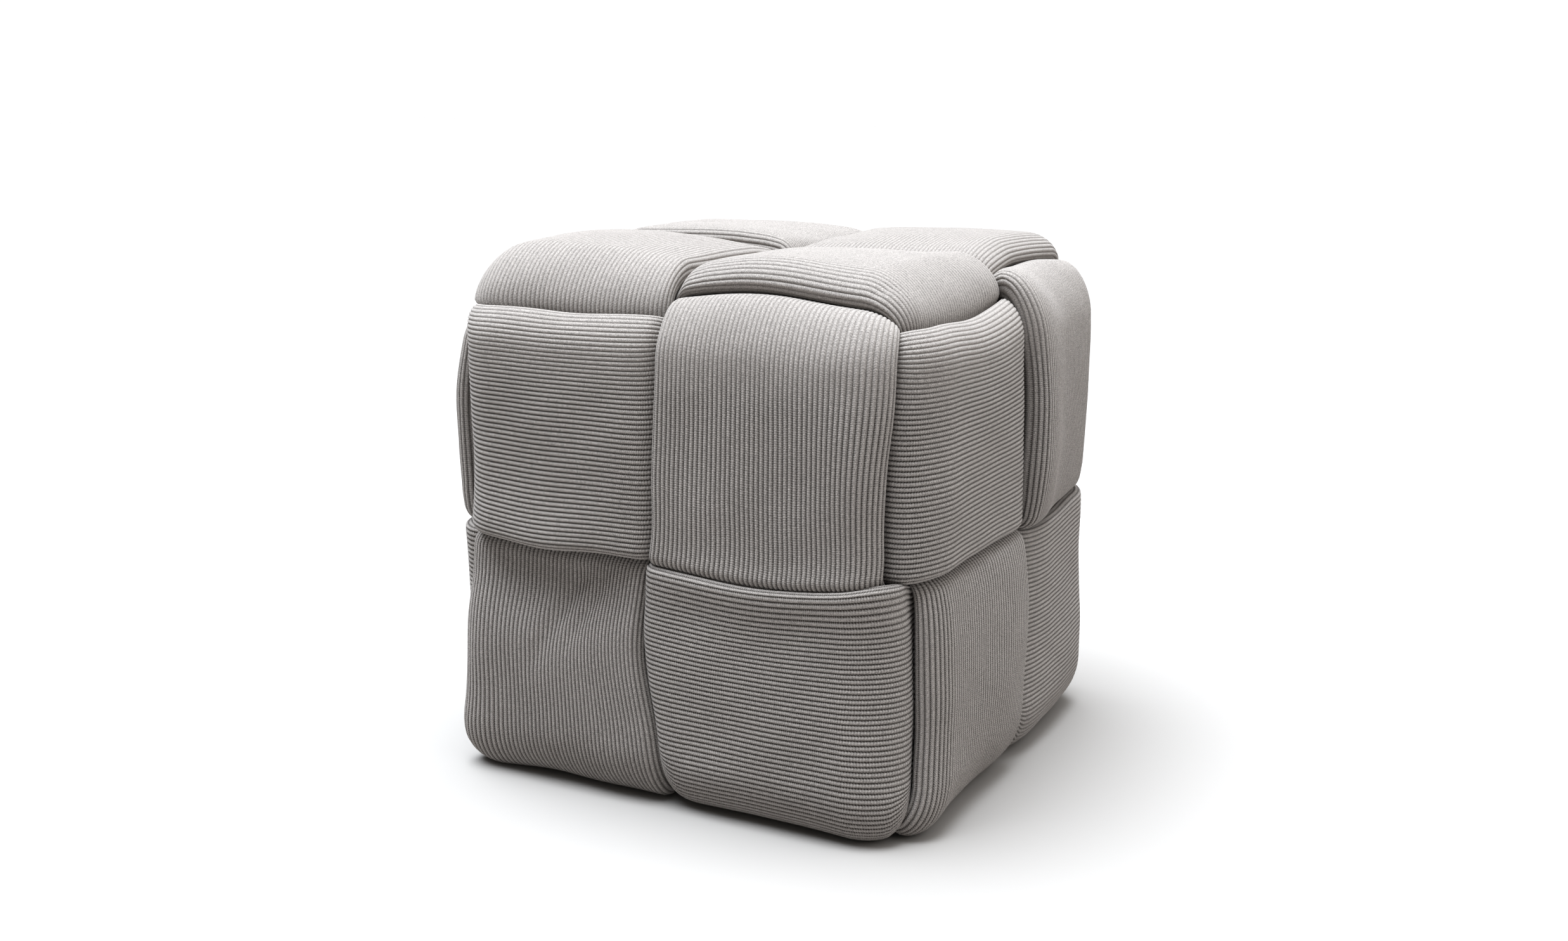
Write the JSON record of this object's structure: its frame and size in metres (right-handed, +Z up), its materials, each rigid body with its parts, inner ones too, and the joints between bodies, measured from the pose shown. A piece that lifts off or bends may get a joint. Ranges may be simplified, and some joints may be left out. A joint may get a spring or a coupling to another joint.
{
  "type": "cube pouf stool",
  "caption": "Low cube pouf to sit or rest feet on, made of wide padded bands of ribbed cloth woven over and under one another.",
  "frame": {"origin": "middle of the pouf's footprint, on the floor", "axes": "+Z up; the wide face seen on the left in the picture looks along -Y, the narrow face on the right along +X"},
  "size_m": [0.4119, 0.4048, 0.4037],
  "materials": {
    "ribbed_cloth": "matte wide ribs"
  },
  "bodies": {
    "root": {"upper_band": "ribbed_cloth", "lower_band": "ribbed_cloth", "left_band": "ribbed_cloth", "right_band": "ribbed_cloth", "front_band": "ribbed_cloth", "back_band": "ribbed_cloth"}
  },
  "joints": []
}
